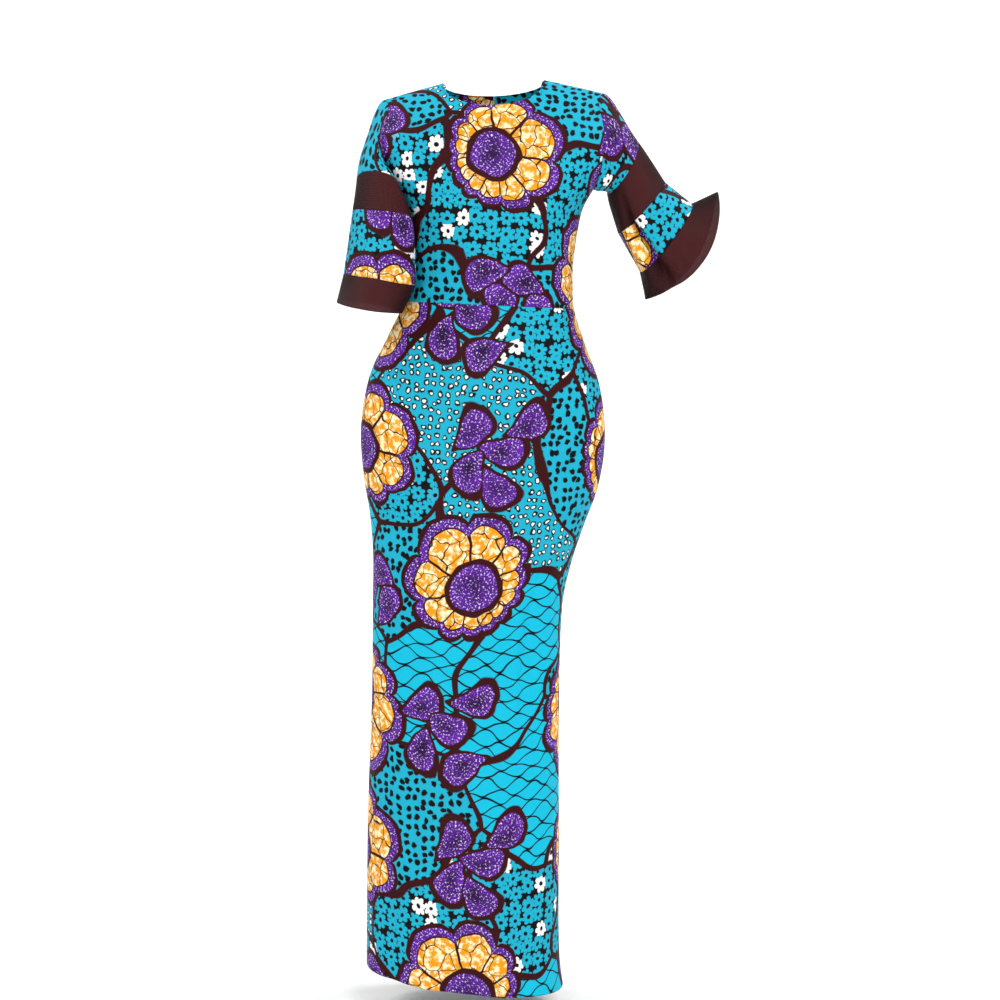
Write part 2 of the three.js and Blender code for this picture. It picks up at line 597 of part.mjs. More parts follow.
/** The slider's plate and the bridge over it, in its own frame: x across, y up the zip, z out of the cloth. */
async function sliderGeometry() {
  const plate = extrude(roundedShape(SLIDER.width, -SLIDER.below, SLIDER.above, 1.6), SLIDER.thick);
  plate.translate(0, 0, SLIDER.lift);
  const face = SLIDER.lift + SLIDER.thick;
  const half = BRIDGE.opening / 2;
  const outer = half + BRIDGE.strand;
  const sunk = 0.6;
  const bridge = extrude(
    frameShape(
      [face - sunk, -outer, face + BRIDGE.depth + BRIDGE.strand, outer],
      [face, -half, face + BRIDGE.depth, half],
    ),
    BRIDGE.width,
  );
  // Drawn with x for the way out, then stood up on the plate.
  bridge.translate(0, 0, -BRIDGE.width / 2);
  bridge.rotateY(-QUARTER);
  return joined(plate, bridge);
}

/** The pull, hanging from its bar: its frame has the bar's middle at the origin. */
function pullGeometry() {
  const shape = roundedShape(PULL.width, -PULL.length, PULL.bar / 2, PULL.bar / 2);
  const hole = [
    new THREE.Vector2(-PULL.slotWidth / 2, -PULL.bar / 2 - PULL.slot),
    new THREE.Vector2(PULL.slotWidth / 2, -PULL.bar / 2 - PULL.slot),
    new THREE.Vector2(PULL.slotWidth / 2, -PULL.bar / 2),
    new THREE.Vector2(-PULL.slotWidth / 2, -PULL.bar / 2),
  ];
  shape.holes.push(new THREE.Path(hole));
  return extrude(shape, PULL.thick).translate(0, 0, -PULL.thick / 2);
}

// ---- The dress ----
const dress = new THREE.Group();

function addPiece(name, geometry, material, parent = dress) {
  const mesh = new THREE.Mesh(geometry, material);
  mesh.name = name;
  parent.add(mesh);
  return mesh;
}

addPiece("bodice_front", bodyWall(bodicePlaces(FRONT), FRONT), PRINT());
addPiece("bodice_back_right", bodyWall(bodicePlaces(BACK, -1), BACK), PRINT());
addPiece("bodice_back_left", bodyWall(bodicePlaces(BACK, 1), BACK), PRINT());
addPiece("skirt_front", bodyWall(skirtPlaces(FRONT), FRONT), PRINT());
addPiece("skirt_back_right", bodyWall(skirtPlaces(BACK, -1), BACK), PRINT());
addPiece("skirt_back_left", bodyWall(skirtPlaces(BACK, 1), BACK), PRINT());

for (const [hand, sleeve] of Object.entries(SLEEVES))
  for (const piece of SLEEVE_PIECES)
    addPiece(`sleeve_${hand}_${piece.name}`, sleeveWall(sleeve, piece), piece.sheer ? SHEER() : PRINT());

addPiece("zip_tape_right", zipTape(-1), TAPE());
addPiece("zip_tape_left", zipTape(1), TAPE());

// The slider's frame stands on the back's surface: z out from the cloth, y up along the centre seam.
const sliderFrame = new THREE.Group();
const sliderOut = bodyNormal(0, SLIDER.height, BACK).setX(0).normalize();
sliderFrame.position.copy(bodyPoint(0, SLIDER.height, BACK));
sliderFrame.setRotationFromMatrix(
  new THREE.Matrix4().makeBasis(vector(-1, 0, 0), vector(-1, 0, 0).cross(sliderOut).negate(), sliderOut),
);
dress.add(sliderFrame);
addPiece("zip_slider", await sliderGeometry(), METAL(), sliderFrame);
const pull = addPiece("zip_pull", pullGeometry(), METAL(), sliderFrame);
pull.position.set(0, -PULL.drop, SLIDER.lift + SLIDER.thick + BRIDGE.depth / 2);
pull.rotation.x = PULL.tilt;

export default dress;
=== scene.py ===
"""A floor-length wax print dress in its worn, hollow shape. Metres in Blender; the cloth's tables are in
mm."""

import math

import bpy
import numpy as np
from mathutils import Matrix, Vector


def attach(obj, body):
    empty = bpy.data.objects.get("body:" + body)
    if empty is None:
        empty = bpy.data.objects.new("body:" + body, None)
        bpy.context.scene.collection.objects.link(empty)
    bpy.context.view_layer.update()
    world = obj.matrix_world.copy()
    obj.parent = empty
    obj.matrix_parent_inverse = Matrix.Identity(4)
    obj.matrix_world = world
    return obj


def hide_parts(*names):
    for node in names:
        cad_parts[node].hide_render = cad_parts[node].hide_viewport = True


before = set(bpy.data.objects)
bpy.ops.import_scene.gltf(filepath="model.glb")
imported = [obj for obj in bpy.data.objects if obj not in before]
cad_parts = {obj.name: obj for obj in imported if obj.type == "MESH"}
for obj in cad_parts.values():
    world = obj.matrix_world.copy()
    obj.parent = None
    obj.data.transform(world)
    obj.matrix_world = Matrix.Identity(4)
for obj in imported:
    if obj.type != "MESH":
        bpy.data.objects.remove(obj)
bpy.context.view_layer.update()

MM = 0.001
FRONT, BACK = -1, 1
QUARTER = math.pi / 2

# ---- The cut of the dress, in mm, as the fixed frame has it ----
NECK_HALF, NECK_HEIGHT, FRONT_DROP, BACK_DROP = 79, 8, 40, 15
SHOULDER_SLOPE, SHOULDER_SOFTEN, ROUNDING = 0.264, 40, 92
UNDERARM, WAIST, HEM = -158, -336, -1404
ARMHOLE_HALF, ARMHOLE_FRONT, ARMHOLE_BACK = 171, 50, 52
CLEARANCE = 4.5
BESIDE_FROM, BESIDE_TO = -62, -128  # heights between which a hanging sleeve comes to lie along the side
SOFTNESS = 0.09
SEAM = 0.2  # the gap that a sewn seam shows
CLOTH = 0.9  # the shell's thickness
MESH_CLOTH = 0.5

# Height, centre, lean, half width, depth in front and behind, squareness and tilt of each section.
SECTIONS = np.array([
    (60, 0, 2, 194, 62, 66, 2.6, 0.03),
    (-10, 0, 1, 193, 72, 74, 2.6, 0.03),
    (-60, 0, 0, 190, 86, 88, 2.6, 0.025),
    (-85, 0, 0, 187, 93, 96, 2.55, 0.022),
    (-112, -1, 0, 180, 99, 101, 2.5, 0.016),
    (-136, -1, 0, 170, 104, 102, 2.45, 0.01),
    (-158, -2, 0, 157, 107, 101, 2.4, 0.004),
    (-182, -3, 0, 143.5, 107, 98, 2.35, -0.002),
    (-207, -4, 0, 137, 105, 94, 2.3, -0.01),
    (-269, -5, 0, 129, 95, 85, 2.25, -0.028),
    (-306, -5, 0, 128.5, 92, 82, 2.2, -0.038),
    (-336, -7, 0, 132.5, 93, 83, 2.2, -0.045),
    (-390, -11, 0, 154, 101, 97, 2.2, -0.047),
    (-453, -14, 0, 180, 108, 113, 2.2, -0.05),
    (-535, -17, 0, 191.5, 112, 122, 2.2, -0.052),
    (-610, -20.5, 0, 184.5, 113, 118, 2.2, -0.054),
    (-674, -27, -1, 168, 111, 110, 2.2, -0.056),
    (-737, -35, -3, 155.5, 108, 102, 2.25, -0.058),
    (-801, -41.5, -4, 149.5, 105, 98, 2.3, -0.06),
    (-961, -45, -4, 148.5, 102, 98, 2.3, -0.07),
    (-1156, -48.5, -2, 152.5, 104, 103, 2.3, -0.09),
    (-1353, -49.5, 0, 154.5, 109, 110, 2.3, -0.11),
    (-1425, -45.5, 0, 159, 113, 114, 2.3, -0.116),
])
CENTRE, LEAN, HALF, IN_FRONT, BEHIND, SQUARE, TILT = range(1, 8)

# Side, x from the section's centre, height, how wide, how tall, how far out: the cut's and the drape's
# swells.
SWELLS = [
    (FRONT, -76, -200, 46, 52, 14),
    (FRONT, 76, -200, 46, 52, 14),
    (BACK, -82, -545, 62, 80, 9),
    (BACK, 82, -545, 62, 80, 9),
    (FRONT, 96, -880, 16, 150, -7),
    (FRONT, 60, -1350, 24, 260, 6),
    (FRONT, -112, -1390, 18, 210, -8),
    (FRONT, -60, -1400, 26, 240, 5),
    (BACK, -64, -1380, 26, 300, 8),
    (BACK, 14, -1340, 22, 240, -7),
    (BACK, 88, -1390, 28, 320, 8),
]

# Creases: side, x and height of the middle, half length, half width, slant in degrees from
# level, and depth out of the cloth (less than 0 is a trough).
CREASES = [
    (FRONT, -104, -186, 46, 7, 38, -4.2),
    (FRONT, -96, -214, 38, 6, 30, -2.9),
    (FRONT, 108, -186, 44, 7, -40, -3.8),
    (FRONT, 98, -212, 40, 6, -28, -3.0),
    (FRONT, -88, -296, 44, 6, 12, -2.7),
    (FRONT, -72, -318, 40, 5, 6, -2.4),
    (FRONT, 90, -300, 42, 6, -10, -2.7),
    (FRONT, 64, -322, 34, 5, -4, -2.1),
    (FRONT, -98, -362, 44, 7, -24, -2.9),
    (FRONT, 100, -366, 48, 7, 26, -3.2),
    (FRONT, 46, -352, 30, 5, 12, -1.6),
    (FRONT, -60, -700, 80, 13, -12, -2.9),
    (FRONT, 70, -676, 76, 12, 16, -3.2),
    (FRONT, 10, -742, 90, 14, 4, -2.6),
    (FRONT, 92, -850, 150, 9, 84, -3.8),
    (FRONT, 40, -1010, 180, 12, 88, -2.6),
    (FRONT, -84, -1080, 200, 12, 93, -2.7),
    (FRONT, -20, -1250, 150, 12, 90, 2.4),
    (BACK, -92, -190, 44, 7, 36, -3.8),
    (BACK, 94, -192, 44, 7, -36, -3.8),
    (BACK, -60, -286, 48, 7, 8, -3.2),
    (BACK, 58, -300, 50, 7, -8, -3.5),
    (BACK, 10, -318, 60, 6, 2, -2.4),
    (BACK, -90, -372, 44, 7, -26, -2.9),
    (BACK, 90, -372, 44, 7, 26, -2.9),
    (BACK, -50, -690, 90, 13, 10, -3.5),
    (BACK, 62, -720, 84, 13, -12, -3.5),
    (BACK, -20, -900, 150, 12, 86, -2.9),
]

# The sleeves: side; way out of the armhole at the top and underneath, and its strength; then the rings: x
# and z of the top and of the under side, y of the middle, the way from the middle to the front, and how
# far the edge dips (x, z) between its top and under side.
SLEEVES = {
    "right": (-1, (-0.9, 0, -0.43), (-0.35, -0.1, -0.93), 0.42, [
        (-208.5, -141, -118, -173, -24, 10, -54, 19, 0, 0),
        (-215.5, -190, -112, -202, -44, 9, -58, 1, 0, 0),
        (-229.5, -288, -117, -306, -58, 10, -74, -2, 0, 0),
        (-240.3, -331, -137, -347, -62, 4, -102, -5, 0, 0),
    ]),
    "left": (1, (0.97, 0, -0.25), (0.75, 0.1, -0.65), 0.48, [
        (222, -82, 173, -163, 8, 9, -48, -5, 0, 0),
        (266, -144.5, 194, -224, 20, 5, -52, -3, 0, 0),
        (310.5, -177.5, 230, -284, 34, 7, -58, -4, 0, 0),
        (351.5, -158, 239.5, -327.5, 46, 2, -58, 0, 31, -22),
    ]),
}
# Name, first and last station, whether it is sheer, rows of its grid, and its cut: width and length in mm.
SLEEVE_PIECES = [
    ("cap", 0, 1, False, 44, (345, 120)),
    ("mesh_inset", 1, 2, True, 26, (345, 92)),
    ("printed_band", 2, 3, False, 34, (400, 112)),
    ("mesh_cuff", 3, 4, True, 24, (520, 62)),
]
# Sleeve creases: sleeve, station, angle round in degrees, half length in stations, half width in degrees,
# depth.
SLEEVE_CREASES = [
    ("left", 2.7, 131, 1.15, 8, -24),
    ("left", 2.7, 152, 0.9, 12, 4),
    ("left", 1.5, 60, 0.5, 16, -2),
    ("left", 0.5, 120, 0.35, 20, -2.2),
    ("left", 2.4, 60, 0.6, 18, 1.6),
    ("left", 3.3, 110, 0.8, 12, 3.0),
    ("left", 3.3, 60, 0.8, 12, -2.0),
    ("left", 3.2, 230, 0.8, 14, -4),
    ("right", 0.6, 70, 0.4, 18, -2.0),
    ("right", 1.9, 110, 0.5, 14, -1.8),
    ("right", 2.6, 40, 0.7, 13, -2.2),
    ("right", 3.0, 75, 0.9, 14, 1.8),
    ("right", 2.9, 115, 0.8, 13, -2.5),
    ("right", 3.1, 250, 0.8, 15, -3.0),
]


# ---- Numbers ----
def signed_power(value, power):
    """The absolute value raised to a power, with the sign it had."""
    return np.sign(value) * np.abs(value) ** power


def section_at(height):
    """A section's columns at any height, by a cubic curve whose slope at a row joins the rows beside it."""
    height = np.asarray(height, float)
    rows = SECTIONS
    last = len(rows) - 1
    k = np.clip(np.searchsorted(-rows[:, 0], -height, side="right") - 1, 0, last - 1)
    low, high = np.maximum(k - 1, 0), np.minimum(k + 2, last)
    span = rows[k + 1, 0] - rows[k, 0]
    t = np.clip((height - rows[k, 0]) / span, 0, 1)[..., None]
    slope_a = (rows[k + 1] - rows[low]) / (rows[k + 1, 0] - rows[low, 0])[..., None] * span[..., None]
    slope_b = (rows[high] - rows[k]) / (rows[high, 0] - rows[k, 0])[..., None] * span[..., None]
    s = 1 - t
    curve = (1 + 2 * t) * s * s * rows[k] + t * s * s * slope_a
    curve = curve + t * t * (3 - 2 * t) * rows[k + 1] - t * t * s * slope_b
    return np.moveaxis(curve, -1, 0)


def shoulder_height(x):
    """The shoulder line: a slope outwards, softened over the middle."""
    from_neck = np.hypot(x, SHOULDER_SOFTEN) - math.hypot(NECK_HALF, SHOULDER_SOFTEN)
    return NECK_HEIGHT - SHOULDER_SLOPE * from_neck


def depth_at(x, height, side):
    """Depth from the section's middle: a superellipse's share, plus the swells, rounded off under the
    shoulder."""
    section = section_at(height)
    share = np.clip(1 - np.abs(x / section[HALF]) ** section[SQUARE], 0, 1) ** (1 / section[SQUARE])
    depth = section[IN_FRONT] if side == FRONT else section[BEHIND]
    for swell_side, at_x, at_height, wide, tall, out in SWELLS:
        if swell_side == side:
            depth = depth + out * np.exp(-(((x - at_x) / wide) ** 2) - ((height - at_height) / tall) ** 2)
    below = np.clip((shoulder_height(x) - height) / ROUNDING, 0, 1)
    return depth * share * np.sqrt(below * (2 - below))


def x_of(turn, height):
    """Distance from the section's centre at a turn: the sine to the power that keeps a superellipse."""
    section = section_at(height)
    return section[HALF] * signed_power(np.sin(turn), 2 / section[SQUARE])


def turn_of(x, height):
    """The turn at a distance from the section's centre."""
    section = section_at(height)
    return np.arcsin(np.clip(signed_power(x / section[HALF], section[SQUARE] / 2), -1, 1))


def body_point(turn, height, side):
    """A point of the body, in mm, at a turn between the side seams and a height, tilted about the middle."""
    section = section_at(height)
    x = x_of(turn, height)
    y = section[LEAN] + side * depth_at(x, height, side)
    return np.stack([section[CENTRE] + x, y, height + section[TILT] * x], -1)


def roll_of(below):
    """0 on the shoulder line, 1 where its rounding ends, and on at the same pace."""
    share = below / ROUNDING
    return np.where(share < 1, np.arccos(np.clip(1 - share, -1, 1)) / QUARTER, 1 + (share - 1) / QUARTER)


def height_at(turn, roll):
    """The height at a turn and a roll, closed in on in steps because the width follows the height."""
    share = np.where(roll < 1, 1 - np.cos(roll * QUARTER), 1 + (roll - 1) * QUARTER)
    height = -share * ROUNDING
    for _ in range(14):
        height = shoulder_height(x_of(turn, height)) - share * ROUNDING
    return height


def reach_at(depth, height, side):
    """How far out the body is as deep as this, by halving."""
    near = np.full(np.shape(height), float(NECK_HALF))
    far = section_at(height)[HALF].copy()
    for _ in range(40):
        middle = (near + far) / 2
        deeper = depth_at(middle, height, side) > depth
        near = np.where(deeper, middle, near)
        far = np.where(deeper, far, middle)
    return near


def armhole_edge(share, side, margin):
    """The armhole's oval: share 0 at the underarm, 1 at the shoulder. Gives x and height."""
    top = float(shoulder_height(ARMHOLE_HALF))
    middle, half = (top + UNDERARM) / 2, (top - UNDERARM) / 2
    reach = ARMHOLE_FRONT if side == FRONT else ARMHOLE_BACK
    height = middle - half * np.cos(np.pi * share) - margin * (1 - share)
    depth = np.maximum((reach + margin) * np.sin(np.pi * share), SEAM / 2)
    return reach_at(depth, height, side) - margin * share, height


def seam_turn(height, side):
    """The turn at which front or back ends, half a seam's gap from the section's middle."""
    section = section_at(height)
    depth = section[IN_FRONT] if side == FRONT else section[BEHIND]
    return np.arccos((SEAM / 2 / depth) ** (section[SQUARE] / 2))


# ---- Places of the body panels ----
BODICE_ROWS = (60, 64)  # up the side seam, and round the armhole
BODICE_COLUMNS = (30, 60)  # along each shoulder, and across the neck
SKIRT_GRID = (132, 330)


def bodice_places(side, hand=0):
    """The bodice's turns and heights: four edges blended across in turn and roll, with rows up and
    columns from the wearer's right to left."""
    seam_rows, hole_rows = BODICE_ROWS
    shoulder, neck = BODICE_COLUMNS
    rows, columns = seam_rows + hole_rows, 2 * shoulder + neck

    up = np.linspace(WAIST + SEAM / 2, UNDERARM, seam_rows, endpoint=False)
    hole_x, hole_height = armhole_edge(np.linspace(0, 1, hole_rows + 1), side, SEAM / 2)
    side_height = np.concatenate([up, hole_height])
    side_turn = np.concatenate([seam_turn(up, side), turn_of(hole_x, hole_height)])
    side_roll = roll_of(shoulder_height(x_of(side_turn, side_height)) - side_height)

    drop = FRONT_DROP if side == FRONT else BACK_DROP
    along_x = np.linspace(hole_x[-1], NECK_HALF, shoulder, endpoint=False)
    angle = np.linspace(0, np.pi, neck + 1)
    top_x = np.concatenate([-along_x, -NECK_HALF * np.cos(angle), along_x[::-1]])
    scoop = NECK_HEIGHT - drop * np.sin(angle)
    top_height = np.concatenate([shoulder_height(along_x), scoop, shoulder_height(along_x[::-1])])
    deep = depth_at(top_x, shoulder_height(top_x) - ROUNDING, side)
    top_roll = np.maximum(roll_of(shoulder_height(top_x) - top_height), np.arcsin(SEAM / 2 / deep) / QUARTER)
    top_turn = turn_of(top_x, top_height)

    low_height = np.full(columns + 1, WAIST + SEAM / 2)
    edge = float(seam_turn(WAIST, side))
    low_turn = np.linspace(-edge, edge, columns + 1)
    low_roll = roll_of(shoulder_height(x_of(low_turn, low_height)) - low_height)

    s = np.linspace(0, 1, columns + 1)[None, :]
    t = np.linspace(0, 1, rows + 1)[:, None]

    def blended(low, high, near, far):
        corners = (1 - t) * ((1 - s) * low[0] + s * low[-1]) + t * ((1 - s) * high[0] + s * high[-1])
        return (1 - t) * low + t * high + (1 - s) * near[:, None] + s * far[:, None] - corners

    turn = blended(low_turn, top_turn, -side_turn, side_turn)
    roll = blended(low_roll, top_roll, side_roll, side_roll)
    return halved(turn, height_at(turn, roll), hand)


def skirt_places(side, hand=0):
    """The skirt's turns and heights: even steps of both, from hem to waist."""
    columns, rows = SKIRT_GRID
    height = np.linspace(HEM, WAIST - SEAM / 2, rows + 1)[:, None] * np.ones((1, columns + 1))
    edge = seam_turn(height, side)
    return halved(edge * np.linspace(-1, 1, columns + 1)[None, :], height, hand)


def halved(turn, height, hand):
    """Keeps one half of a back panel, held half a gap off the centre seam. hand 0 keeps the whole."""
    if hand == 0:
        return turn, height
    middle = turn.shape[1] // 2
    part = slice(middle, None) if hand > 0 else slice(0, middle + 1)
    turn, height = turn[:, part], height[:, part]
    least = turn_of(np.full(turn.shape, SEAM / 2), height)
    return hand * np.maximum(hand * turn, least), height


def grid_normals(points, closed=False):
    """Unit normals of a grid of points, from the steps to its neighbours along both ways."""
    if closed:
        across = np.roll(points, -1, 1) - np.roll(points, 1, 1)
    else:
        across = np.gradient(points, axis=1)
    normal = np.cross(across, np.gradient(points, axis=0))
    return normal / np.maximum(np.linalg.norm(normal, axis=-1, keepdims=True), 1e-9)


def creased(points, turn, height, side, normal):
    """Moves the cloth along its normal by each crease: a bell across its width, tapered along its length."""
    x = x_of(turn, height)
    out = np.zeros(turn.shape)
    for crease_side, at_x, at_height, length, width, slant, depth in CREASES:
        if crease_side != side:
            continue
        c, s = math.cos(math.radians(slant)), math.sin(math.radians(slant))
        dx, dz = x - at_x, height - at_height
        along, across = dx * c + dz * s, -dx * s + dz * c
        bend = across + 0.12 * along**2 / length
        out += depth * np.exp(-((bend / width) ** 2)) * np.exp(-((along / length) ** 4))
    fade = np.clip((x_of(QUARTER, height) - np.abs(x)) / 12, 0, 1)
    return points + normal * (out * fade)[..., None]


# ---- Where the flat cloth lies: UV in metres ----
def flat_cloth(turn, height, side):
    """Lengths over the surface: across from the centre line at each height, and up from the waist along the
    middle of the panel, read from one table of the surface."""
    turns = np.linspace(-QUARTER * 0.999, QUARTER * 0.999, 181)
    rolls = np.linspace(0.0, 13, 500)
    grid_turn, grid_roll = np.meshgrid(turns, rolls)
    grid_height = height_at(grid_turn, grid_roll)
    points = body_point(grid_turn, grid_height, side)
    step_across = np.linalg.norm(np.diff(points, axis=1), axis=-1)
    across = np.concatenate([np.zeros((len(rolls), 1)), np.cumsum(step_across, 1)], 1)
    across -= across[:, 90:91]
    step_down = np.linalg.norm(np.diff(points, axis=0), axis=-1)
    down = np.concatenate([np.zeros((1, len(turns))), np.cumsum(step_down, 0)], 0)
    offset = np.array([np.interp(-WAIST, -grid_height[:, k], down[:, k]) for k in range(len(turns))])
    up = offset - down
    roll = roll_of(shoulder_height(x_of(turn, height)) - height)
    i = np.clip(roll / rolls[1], 0, len(rolls) - 1.001)
    j = np.clip((turn - turns[0]) / (turns[1] - turns[0]), 0, len(turns) - 1.001)
    i0, j0 = i.astype(int), j.astype(int)
    fi, fj = i - i0, j - j0

    def read(table):
        near = table[i0, j0] * (1 - fj) + table[i0, j0 + 1] * fj
        far = table[i0 + 1, j0] * (1 - fj) + table[i0 + 1, j0 + 1] * fj
        return near * (1 - fi) + far * fi

    return np.stack([read(across), read(up)], -1) * MM


# ---- Meshes ----
TURNED = 1.1  # how far a sewn or hemmed edge turns in


def turned_edges(points, normal, uv, closed=False):
    """Adds a border to a grid: its edge points again, moved in against the normal, as a turned edge is."""
    inner = points - normal * TURNED
    points = np.concatenate([inner[:1], points, inner[-1:]], 0)
    uv = np.concatenate([uv[:1], uv, uv[-1:]], 0)
    if not closed:
        left, right = points[:, :1].copy(), points[:, -1:].copy()
        left[1:-1], right[1:-1] = inner[:, :1], inner[:, -1:]
        points = np.concatenate([left, points, right], 1)
        uv = np.concatenate([uv[:, :1], uv, uv[:, -1:]], 1)
    return points, uv


def cloth_mesh(name, points, uv, closed=False):
    """A mesh of quads from a grid of points in mm. A closed grid joins its last column to its first, and
    its UV grid has one column more, so that the pattern doesn't run back."""
    rows, columns = points.shape[:2]
    index = np.arange(rows * columns).reshape(rows, columns)
    if closed:
        index = np.concatenate([index, index[:, :1]], 1)
    faces = np.stack([index[:-1, :-1], index[:-1, 1:], index[1:, 1:], index[1:, :-1]], -1).reshape(-1, 4)
    uv_rows, uv_columns = uv.shape[:2]
    uv_index = np.arange(uv_rows * uv_columns).reshape(uv_rows, uv_columns)
    corners = np.stack([uv_index[:-1, :-1], uv_index[:-1, 1:], uv_index[1:, 1:], uv_index[1:, :-1]], -1)
    mesh = bpy.data.meshes.new(name)
    mesh.from_pydata((points.reshape(-1, 3) * MM).tolist(), [], faces.tolist())
    layer = mesh.uv_layers.new(name="cloth")
    layer.data.foreach_set("uv", uv.reshape(-1, 2)[corners.reshape(-1)].astype(np.float32).ravel())
    mesh.polygons.foreach_set("use_smooth", np.ones(len(mesh.polygons), bool))
    mesh.update()
    piece = bpy.data.objects.new(name, mesh)
    bpy.context.scene.collection.objects.link(piece)
    return piece


def give_thickness(piece, thickness):
    """The cloth's thickness, laid inwards from the surface that shows."""
    shell = piece.modifiers.new("thickness", "SOLIDIFY")
    shell.thickness = thickness * MM
    shell.offset = -1
    shell.use_even_offset = False
    return piece


def body_piece(name, places, side, flip):
    """A panel of the body, creased, with its outside facing out."""
    turn, height = places
    points = body_point(turn, height, side)
    normal = grid_normals(points)
    if flip:
        normal = -normal
    points = creased(points, turn, height, side, normal)
    points, uv = turned_edges(points, normal, flat_cloth(turn, height, side))
    if flip:
        points, uv = points[:, ::-1], uv[:, ::-1]
    return give_thickness(cloth_mesh(name, points, uv), CLOTH)


# ---- Sleeves ----
def armhole_point(angle, hand):
    """The armhole's edge in space by the angle round the sleeve: 0 is the shoulder, 90 degrees the front."""
    share = 1 - np.arccos(np.clip(np.cos(angle), -1, 1)) / np.pi
    points = np.zeros(angle.shape + (3,))
    for side, chosen in ((FRONT, np.sin(angle) >= 0), (BACK, np.sin(angle) < 0)):
        x, height = armhole_edge(share[chosen], side, -SEAM / 2)
        points[chosen] = body_point(hand * turn_of(x, height), height, side)
    return points


def ring_point(ring, angle):
    """A ring's ellipse, from its top through its front."""
    top_x, top_z, under_x, under_z, y, front_x, front_y, front_z, dip_x, dip_z = ring
    middle = np.array([(top_x + under_x) / 2, y, (top_z + under_z) / 2])
    up = np.array([(top_x - under_x) / 2, 0, (top_z - under_z) / 2])
    front = np.array([front_x, front_y, front_z])
    sine = np.sin(angle)[..., None]
    return middle + np.cos(angle)[..., None] * up + sine * front + sine**2 * np.array([dip_x, 0, dip_z])


def clear_of_body(points, station):
    """Moves points out of the body's sections, softly, so that a hanging sleeve lies along the side."""
    beside = np.clip((points[..., 2] - BESIDE_FROM) / (BESIDE_TO - BESIDE_FROM), 0, 1)
    beside = beside * beside * (3 - 2 * beside) * np.clip(station / 0.05, 0, 1)
    section = section_at(points[..., 2])
    x, y = points[..., 0] - section[CENTRE], points[..., 1] - section[LEAN]
    zero = np.zeros(x.shape)
    depth = np.where(y < 0, depth_at(zero, points[..., 2], FRONT), depth_at(zero, points[..., 2], BACK))
    depth = np.maximum(depth, 1)
    square = section[SQUARE]
    reach = (np.abs(x / section[HALF]) ** square + np.abs(y / depth) ** square) ** (1 / square)
    t = np.clip(station, 0, 1)
    ease = t * t * (3 - 2 * t)
    least = 1 + (0.5 + CLEARANCE * ease) / section[HALF]
    over = reach - least
    kept = least + (over + np.hypot(over, SOFTNESS * ease)) / 2
    change = np.stack([x * (kept / reach - 1), y * (kept / reach - 1), zero], -1)
    return points + change * beside[..., None]


def sleeve_points(hand_name, station, angle):
    """The sleeve: a cubic from the armhole to the first ring, then straight from ring to ring."""
    side, top, under, strength, rings = SLEEVES[hand_name]
    start = armhole_point(angle[:1], side)
    end, following = ring_point(rings[0], angle[:1]), ring_point(rings[1], angle[:1])
    chord = np.linalg.norm(end - start, axis=-1, keepdims=True)
    over_top = ((1 + np.cos(angle[:1])) / 2)[..., None]
    away = np.array(under) * (1 - over_top) + np.array(top) * over_top
    away *= chord / np.linalg.norm(away, axis=-1, keepdims=True) * (1 + (strength - 1) * over_top)
    onward = following - end
    onward *= chord / np.linalg.norm(onward, axis=-1, keepdims=True)
    t = np.clip(station, 0, 1)[..., None]
    s = 1 - t
    cap = (1 + 2 * t) * s * s * start + t * s * s * away + t * t * (3 - 2 * t) * end - t * t * s * onward
    result = cap
    for k in range(3):
        share = np.clip(station - 1 - k, 0, 1)[..., None]
        band = ring_point(rings[k], angle) * (1 - share) + ring_point(rings[k + 1], angle) * share
        result = np.where((station >= 1 + k)[..., None], band, result)
    return clear_of_body(result, station)


def sleeve_piece(hand_name, piece, first, last, sheer, rows):
    """A closed tube of the sleeve between two stations, creased, with its seam underneath, its UV in
    metres of flat cloth, and a share of painted light for the sheer colour: most in front, as the sine
    to the power 1.5, and none at the top, underneath and behind, where the colour is painted shade."""
    columns = 128
    station, angle = np.meshgrid(
        np.linspace(first + (0.004 if first else 0), last, rows + 1),
        np.linspace(np.pi, 3 * np.pi, columns, endpoint=False),
        indexing="ij",
    )
    points = sleeve_points(hand_name, station, angle)
    normal = grid_normals(points, closed=True)
    outwards = points - points.mean(axis=1, keepdims=True)
    facing = 1 if (normal * outwards).sum() > 0 else -1
    normal = normal * facing
    out = np.zeros(station.shape)
    for crease_hand, at, turn, length, width, depth in SLEEVE_CREASES:
        if crease_hand == hand_name:
            around = (np.degrees(angle) - turn + 180) % 360 - 180
            out += depth * np.exp(-((around / width) ** 2)) * np.exp(-(((station - at) / length) ** 4))
    fade = np.clip(station / 0.25, 0, 1)
    points = clear_of_body(points + normal * (out * fade)[..., None], station)
    ring = np.concatenate([points, points[:, :1]], 1)
    around = np.linalg.norm(np.diff(ring, axis=1), axis=-1).mean(axis=0)
    across = np.concatenate([[0], np.cumsum(around)])
    down = np.linalg.norm(np.diff(points, axis=0), axis=-1).mean(axis=1)
    along = -np.concatenate([[0], np.cumsum(down)])
    uv = np.stack(np.broadcast_arrays(across[None, :], along[:, None]), -1) * MM
    points, uv = turned_edges(points, normal, uv, closed=True)
    # Painted light in front and painted shade elsewhere: the sheer colour goes from brown to nearly black.
    painted_front_light = np.tile(np.clip(np.sin(angle[0]), 0, 1) ** 1.5, (len(points), 1))
    if facing < 0:
        points, uv, painted_front_light = points[:, ::-1], uv[:, ::-1], painted_front_light[:, ::-1]
    tube = cloth_mesh(f"{hand_name}_sleeve_{piece}", points, uv, closed=True)
    tube.data.attributes.new("painted_front_light", "FLOAT", "POINT").data.foreach_set("value", painted_front_light.ravel())
    return give_thickness(tube, MESH_CLOTH if sheer else CLOTH)


